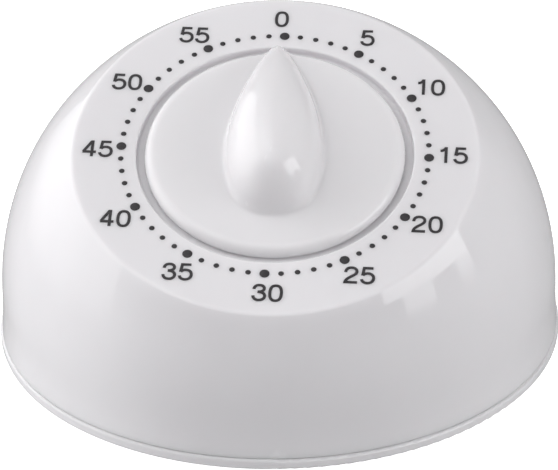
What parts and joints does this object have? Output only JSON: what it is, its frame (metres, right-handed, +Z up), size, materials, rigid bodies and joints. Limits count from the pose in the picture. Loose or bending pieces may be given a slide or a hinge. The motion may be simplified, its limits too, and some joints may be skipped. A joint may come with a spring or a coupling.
{
  "type": "lab timer",
  "caption": "Round dome timer with a tilted dial, a teardrop pointer knob in a round recess, and a spring-driven train, escapement, hammer and bell inside.",
  "frame": {"origin": "centre of the base, on the surface that the rubber pads stand on", "axes": "+Z up, -Y towards the user (the dial leans that way), +X to the user's right"},
  "size_m": [0.096, 0.096, 0.0533],
  "materials": {
    "housing_white": "gloss",
    "base_white": "gloss",
    "knob_white": "gloss",
    "foot_rubber": "matte",
    "screw_steel": "satin",
    "plate_steel": "satin",
    "arbor_steel": "polished",
    "wheel_brass": "satin",
    "spring_steel": "satin",
    "bell_steel": "polished"
  },
  "bodies": {
    "case": {"upper_housing": "housing_white", "base_plate": "base_white", "rubber_feet": "foot_rubber", "base_screws": "screw_steel", "front_plate": "plate_steel", "back_plate": "plate_steel", "pillars": "arbor_steel", "pillar_screws": "screw_steel", "movement_screws": "screw_steel", "mainspring": "spring_steel", "spring_post": "arbor_steel", "hammer_spring": "spring_steel", "bell": "bell_steel", "bell_post": "arbor_steel", "bell_screw": "screw_steel"},
    "winding": {"knob": "knob_white", "main_arbor": "arbor_steel", "arbor_clip": "spring_steel", "ratchet_wheel": "arbor_steel", "great_wheel": "wheel_brass", "click_stud": "arbor_steel", "trip_cam": "wheel_brass"},
    "click": {"click": "spring_steel"},
    "second": {"second_arbor": "arbor_steel", "second_wheel": "wheel_brass"},
    "third": {"third_arbor": "arbor_steel", "third_wheel": "wheel_brass"},
    "escape": {"escape_arbor": "arbor_steel", "escape_wheel": "wheel_brass"},
    "anchor": {"anchor_arbor": "arbor_steel", "anchor": "arbor_steel", "inertia_wheel": "wheel_brass"},
    "hammer": {"hammer_arbor": "arbor_steel", "hammer_finger": "plate_steel", "hammer_arm": "plate_steel", "hammer_head": "wheel_brass"}
  },
  "joints": [
    {"name": "knob_turn", "type": "hinge", "parent": "case", "child": "winding", "pos_m": [0, -0.01318, 0.04015], "axis": [0, -0.3939, 0.9191], "range_deg": [-354, 0]},
    {"name": "click_lift", "type": "hinge", "parent": "winding", "child": "click", "pos_m": [0.00672, -0.00701, 0.0428], "axis": [0, -0.3939, 0.9191], "range_deg": [0, 10], "stiffness_Nm_per_rad": 0.00002},
    {"name": "second_turn", "type": "hinge", "parent": "case", "child": "second", "pos_m": [0.00414, -0.02739, 0.03407], "axis": [0, -0.3939, 0.9191], "continuous": true},
    {"name": "third_turn", "type": "hinge", "parent": "case", "child": "third", "pos_m": [0.01477, -0.02181, 0.03646], "axis": [0, -0.3939, 0.9191], "continuous": true},
    {"name": "escape_turn", "type": "hinge", "parent": "case", "child": "escape", "pos_m": [0.02047, -0.01417, 0.03973], "axis": [0, -0.3939, 0.9191], "continuous": true},
    {"name": "anchor_rock", "type": "hinge", "parent": "case", "child": "anchor", "pos_m": [0.01946, -0.00724, 0.0427], "axis": [0, -0.3939, 0.9191], "range_deg": [-7, 7]},
    {"name": "hammer_strike", "type": "hinge", "parent": "case", "child": "hammer", "pos_m": [-0.0115, -0.00197, 0.04496], "axis": [0, -0.3939, 0.9191], "range_deg": [-9, 0], "stiffness_Nm_per_rad": 0.001}
  ],
  "couplings": [
    {"joint": "second_turn", "follows": "knob_turn", "ratio": -9},
    {"joint": "third_turn", "follows": "knob_turn", "ratio": 72},
    {"joint": "escape_turn", "follows": "knob_turn", "ratio": -576}
  ]
}
